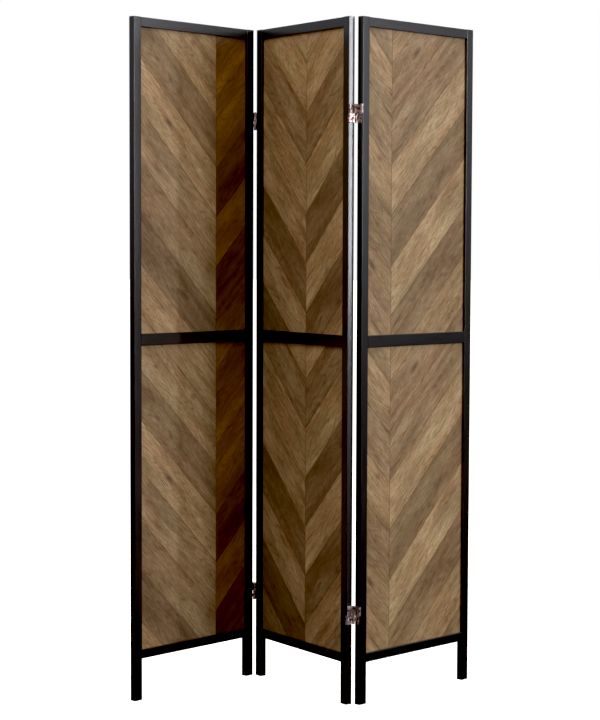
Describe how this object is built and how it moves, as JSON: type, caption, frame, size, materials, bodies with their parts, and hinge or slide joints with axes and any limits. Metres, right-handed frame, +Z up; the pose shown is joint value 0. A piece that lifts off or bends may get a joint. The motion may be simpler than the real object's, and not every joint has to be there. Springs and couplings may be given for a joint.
{
  "type": "folding room divider screen",
  "caption": "Free-standing folding screen of framed boards with a chevron wood pattern, joined by two-way hinges and standing in a zigzag.",
  "frame": {"origin": "on the floor, under the middle of the outline of the screen as it stands open", "axes": "+Z up, +X to the right along the screen seen from its front, +Y to its back"},
  "size_m": [0.9062, 0.3866, 1.797],
  "materials": {
    "frame_paint": "black-brown satin paint over pine",
    "board_face": "fibreboard faced with printed oak planks in a chevron, matt",
    "hinge_metal": "steel, antique copper plated, satin",
    "hinge_pin": "steel, antique copper plated, satin"
  },
  "bodies": {
    "panel_centre": {"centre_panel_left_stile": "frame_paint", "centre_panel_right_stile": "frame_paint", "centre_panel_top_rail": "frame_paint", "centre_panel_middle_rail": "frame_paint", "centre_panel_bottom_rail": "frame_paint", "centre_panel_upper_board": "board_face", "centre_panel_lower_board": "board_face", "left_upper_hinge_centre_leaf": "hinge_metal", "left_upper_hinge_bottom_link": "hinge_metal", "left_upper_hinge_bottom_front_pin": "hinge_pin", "left_upper_hinge_bottom_rear_pin": "hinge_pin", "left_lower_hinge_centre_leaf": "hinge_metal", "left_lower_hinge_bottom_link": "hinge_metal", "left_lower_hinge_bottom_front_pin": "hinge_pin", "left_lower_hinge_bottom_rear_pin": "hinge_pin", "right_upper_hinge_centre_leaf": "hinge_metal", "right_upper_hinge_bottom_link": "hinge_metal", "right_upper_hinge_bottom_front_pin": "hinge_pin", "right_upper_hinge_bottom_rear_pin": "hinge_pin", "right_lower_hinge_centre_leaf": "hinge_metal", "right_lower_hinge_bottom_link": "hinge_metal", "right_lower_hinge_bottom_front_pin": "hinge_pin", "right_lower_hinge_bottom_rear_pin": "hinge_pin"},
    "panel_left": {"left_panel_left_stile": "frame_paint", "left_panel_right_stile": "frame_paint", "left_panel_top_rail": "frame_paint", "left_panel_middle_rail": "frame_paint", "left_panel_bottom_rail": "frame_paint", "left_panel_upper_board": "board_face", "left_panel_lower_board": "board_face", "left_upper_hinge_outer_leaf": "hinge_metal", "left_upper_hinge_top_link": "hinge_metal", "left_upper_hinge_top_front_pin": "hinge_pin", "left_upper_hinge_top_rear_pin": "hinge_pin", "left_lower_hinge_outer_leaf": "hinge_metal", "left_lower_hinge_top_link": "hinge_metal", "left_lower_hinge_top_front_pin": "hinge_pin", "left_lower_hinge_top_rear_pin": "hinge_pin"},
    "panel_right": {"right_panel_left_stile": "frame_paint", "right_panel_right_stile": "frame_paint", "right_panel_top_rail": "frame_paint", "right_panel_middle_rail": "frame_paint", "right_panel_bottom_rail": "frame_paint", "right_panel_upper_board": "board_face", "right_panel_lower_board": "board_face", "right_upper_hinge_outer_leaf": "hinge_metal", "right_upper_hinge_top_link": "hinge_metal", "right_upper_hinge_top_front_pin": "hinge_pin", "right_upper_hinge_top_rear_pin": "hinge_pin", "right_lower_hinge_outer_leaf": "hinge_metal", "right_lower_hinge_top_link": "hinge_metal", "right_lower_hinge_top_front_pin": "hinge_pin", "right_lower_hinge_top_rear_pin": "hinge_pin"}
  },
  "joints": [
    {"name": "left_fold", "type": "hinge", "parent": "panel_centre", "child": "panel_left", "pos_m": [-0.14527, 0.17523, 0.9], "axis": [0, 0, -1], "range_deg": [-77.4, 102.6]},
    {"name": "right_fold", "type": "hinge", "parent": "panel_centre", "child": "panel_right", "pos_m": [0.13645, -0.17478, 0.9], "axis": [0, 0, -1], "range_deg": [-79, 101]}
  ]
}
